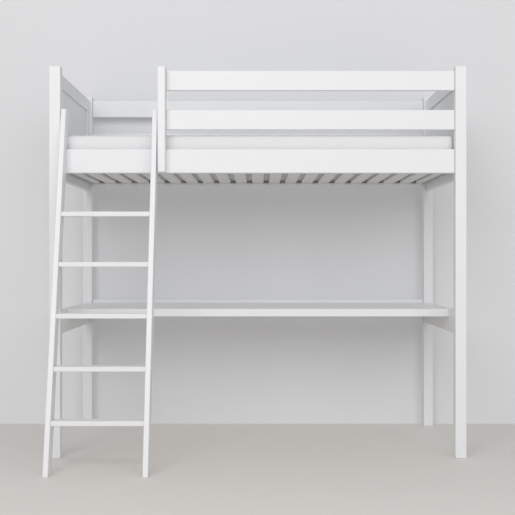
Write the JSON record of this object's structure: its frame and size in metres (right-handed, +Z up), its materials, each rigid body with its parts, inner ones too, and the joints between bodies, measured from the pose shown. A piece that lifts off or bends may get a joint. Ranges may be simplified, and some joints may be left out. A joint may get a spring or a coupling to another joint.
{
  "type": "loft bed with desk",
  "caption": "High single bed on four square posts, with guard rails, panelled ends, a slatted base and mattress, a slanted ladder at the left and a full-length desk below.",
  "frame": {"origin": "on the floor, at the middle of the rectangle that the posts and the ladder's feet cover", "axes": "+Z up, +X along the bed from the ladder end to the far end, -Y the front, where the ladder stands"},
  "size_m": [2.124, 1.4404, 1.996],
  "materials": {
    "frame_wood": "white lacquer, satin",
    "panel_board": "white lacquer, satin",
    "slat_wood": "white paint, matt",
    "desk_board": "white lacquer, satin",
    "mattress_fabric": "woven cotton cover, matt",
    "bolt_steel": "zinc plated"
  },
  "bodies": {
    "root": {"post_front_left": "frame_wood", "post_front_right": "frame_wood", "post_rear_left": "frame_wood", "post_rear_right": "frame_wood", "side_rail_front": "frame_wood", "side_rail_rear": "frame_wood", "ledger_front": "frame_wood", "ledger_rear": "frame_wood", "guard_rail_front_lower": "frame_wood", "guard_rail_front_upper": "frame_wood", "guard_rail_rear_lower": "frame_wood", "guard_rail_rear_upper": "frame_wood", "guard_post": "frame_wood", "end_top_rail_left": "frame_wood", "end_bottom_rail_left": "frame_wood", "end_stile_left_front": "frame_wood", "end_stile_left_rear": "frame_wood", "end_panel_left": "panel_board", "end_top_rail_right": "frame_wood", "end_bottom_rail_right": "frame_wood", "end_stile_right_front": "frame_wood", "end_stile_right_rear": "frame_wood", "end_panel_right": "panel_board", "slat_01": "slat_wood", "slat_02": "slat_wood", "slat_03": "slat_wood", "slat_04": "slat_wood", "slat_05": "slat_wood", "slat_06": "slat_wood", "slat_07": "slat_wood", "slat_08": "slat_wood", "slat_09": "slat_wood", "slat_10": "slat_wood", "slat_11": "slat_wood", "slat_12": "slat_wood", "slat_13": "slat_wood", "slat_14": "slat_wood", "slat_15": "slat_wood", "slat_16": "slat_wood", "slat_17": "slat_wood", "slat_18": "slat_wood", "slat_19": "slat_wood", "slat_20": "slat_wood", "slat_21": "slat_wood", "mattress": "mattress_fabric", "ladder_stile_left": "frame_wood", "ladder_stile_right": "frame_wood", "ladder_rung_1": "frame_wood", "ladder_rung_2": "frame_wood", "ladder_rung_3": "frame_wood", "ladder_rung_4": "frame_wood", "ladder_rung_5": "frame_wood", "desk_top": "desk_board", "desk_rear_rail": "frame_wood", "desk_end_rail_left": "frame_wood", "desk_end_rail_right": "frame_wood", "ladder_bolt_left": "bolt_steel", "ladder_bolt_right": "bolt_steel", "guard_post_bolt_lower": "bolt_steel", "guard_post_bolt_upper": "bolt_steel"}
  },
  "joints": []
}
